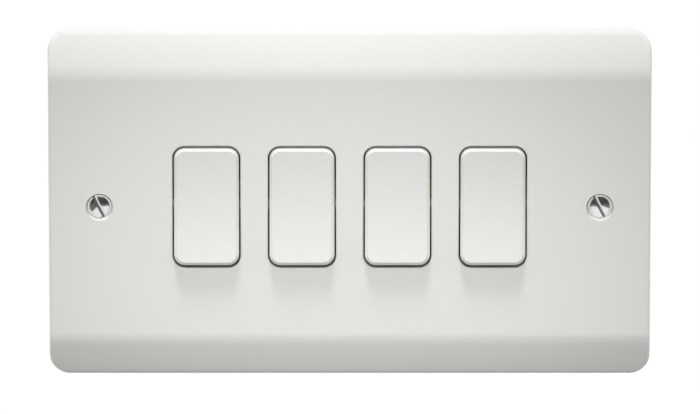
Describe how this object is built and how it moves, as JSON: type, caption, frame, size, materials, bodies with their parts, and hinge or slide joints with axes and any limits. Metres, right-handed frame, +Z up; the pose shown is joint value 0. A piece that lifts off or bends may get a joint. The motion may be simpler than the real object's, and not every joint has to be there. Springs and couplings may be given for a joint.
{
  "type": "light switch",
  "caption": "White moulded wall plate with a row of narrow rocker switches, sloping top and bottom edges, slotted fixing screws and sprung snap-action contacts behind.",
  "frame": {"origin": "centre of the plate's back rim, on the plane that meets the wall", "axes": "+X to the right as seen from the room, +Y into the wall, +Z up"},
  "size_m": [0.1454, 0.0266, 0.086],
  "materials": {
    "plate": "glossy moulded urea",
    "rocker": "glossy moulded urea",
    "base": "matt moulded nylon",
    "plunger": "smooth acetal",
    "brass": "rolled brass",
    "silver": "silver alloy",
    "plated_screw": "bright nickel plate",
    "clamp_screw": "zinc plate",
    "spring": "drawn spring wire"
  },
  "bodies": {
    "switch": {"front_plate": "plate", "fixing_screws": "plated_screw", "fixed_tips_1": "silver", "upper_terminal_1": "brass", "lower_terminal_1": "brass", "common_terminal_1": "brass", "terminal_screws_1": "clamp_screw", "switch_base_1": "base", "fixed_tips_2": "silver", "upper_terminal_2": "brass", "lower_terminal_2": "brass", "common_terminal_2": "brass", "terminal_screws_2": "clamp_screw", "switch_base_2": "base", "fixed_tips_3": "silver", "upper_terminal_3": "brass", "lower_terminal_3": "brass", "common_terminal_3": "brass", "terminal_screws_3": "clamp_screw", "switch_base_3": "base", "fixed_tips_4": "silver", "upper_terminal_4": "brass", "lower_terminal_4": "brass", "common_terminal_4": "brass", "terminal_screws_4": "clamp_screw", "switch_base_4": "base"},
    "rocker_1": {"rocker_1": "rocker", "plunger_spring_1": "spring"},
    "plunger_1": {"plunger_1": "plunger"},
    "contact_1": {"moving_contact_1": "brass", "moving_tips_1": "silver"},
    "rocker_2": {"rocker_2": "rocker", "plunger_spring_2": "spring"},
    "plunger_2": {"plunger_2": "plunger"},
    "contact_2": {"moving_contact_2": "brass", "moving_tips_2": "silver"},
    "rocker_3": {"rocker_3": "rocker", "plunger_spring_3": "spring"},
    "plunger_3": {"plunger_3": "plunger"},
    "contact_3": {"moving_contact_3": "brass", "moving_tips_3": "silver"},
    "rocker_4": {"rocker_4": "rocker", "plunger_spring_4": "spring"},
    "plunger_4": {"plunger_4": "plunger"},
    "contact_4": {"moving_contact_4": "brass", "moving_tips_4": "silver"}
  },
  "joints": [
    {"name": "rocker_1_rock", "type": "hinge", "parent": "switch", "child": "rocker_1", "pos_m": [-0.0345, -0.002, 0], "axis": [1, 0, 0], "range_deg": [0, 9]},
    {"name": "plunger_1_slide", "type": "slide", "parent": "rocker_1", "child": "plunger_1", "axis": [0, -0.9969, 0.0785], "range_m": [0, 0.0006], "stiffness_N_per_m": 400, "springref_m": -0.002, "deforming": ["plunger_spring_1"]},
    {"name": "contact_1_tip", "type": "hinge", "parent": "switch", "child": "contact_1", "pos_m": [-0.0345, 0.0099, 0], "axis": [1, 0, 0], "range_deg": [-19, 0]},
    {"name": "rocker_2_rock", "type": "hinge", "parent": "switch", "child": "rocker_2", "pos_m": [-0.0115, -0.002, 0], "axis": [1, 0, 0], "range_deg": [0, 9]},
    {"name": "plunger_2_slide", "type": "slide", "parent": "rocker_2", "child": "plunger_2", "axis": [0, -0.9969, 0.0785], "range_m": [0, 0.0006], "stiffness_N_per_m": 400, "springref_m": -0.002, "deforming": ["plunger_spring_2"]},
    {"name": "contact_2_tip", "type": "hinge", "parent": "switch", "child": "contact_2", "pos_m": [-0.0115, 0.0099, 0], "axis": [1, 0, 0], "range_deg": [-19, 0]},
    {"name": "rocker_3_rock", "type": "hinge", "parent": "switch", "child": "rocker_3", "pos_m": [0.0115, -0.002, 0], "axis": [1, 0, 0], "range_deg": [0, 9]},
    {"name": "plunger_3_slide", "type": "slide", "parent": "rocker_3", "child": "plunger_3", "axis": [0, -0.9969, 0.0785], "range_m": [0, 0.0006], "stiffness_N_per_m": 400, "springref_m": -0.002, "deforming": ["plunger_spring_3"]},
    {"name": "contact_3_tip", "type": "hinge", "parent": "switch", "child": "contact_3", "pos_m": [0.0115, 0.0099, 0], "axis": [1, 0, 0], "range_deg": [-19, 0]},
    {"name": "rocker_4_rock", "type": "hinge", "parent": "switch", "child": "rocker_4", "pos_m": [0.0345, -0.002, 0], "axis": [1, 0, 0], "range_deg": [0, 9]},
    {"name": "plunger_4_slide", "type": "slide", "parent": "rocker_4", "child": "plunger_4", "axis": [0, -0.9969, 0.0785], "range_m": [0, 0.0006], "stiffness_N_per_m": 400, "springref_m": -0.002, "deforming": ["plunger_spring_4"]},
    {"name": "contact_4_tip", "type": "hinge", "parent": "switch", "child": "contact_4", "pos_m": [0.0345, 0.0099, 0], "axis": [1, 0, 0], "range_deg": [-19, 0]}
  ],
  "couplings": [
    {"joint": "contact_1_tip", "follows": "rocker_1_rock", "ratio": -2.111},
    {"joint": "contact_2_tip", "follows": "rocker_2_rock", "ratio": -2.111},
    {"joint": "contact_3_tip", "follows": "rocker_3_rock", "ratio": -2.111},
    {"joint": "contact_4_tip", "follows": "rocker_4_rock", "ratio": -2.111}
  ]
}
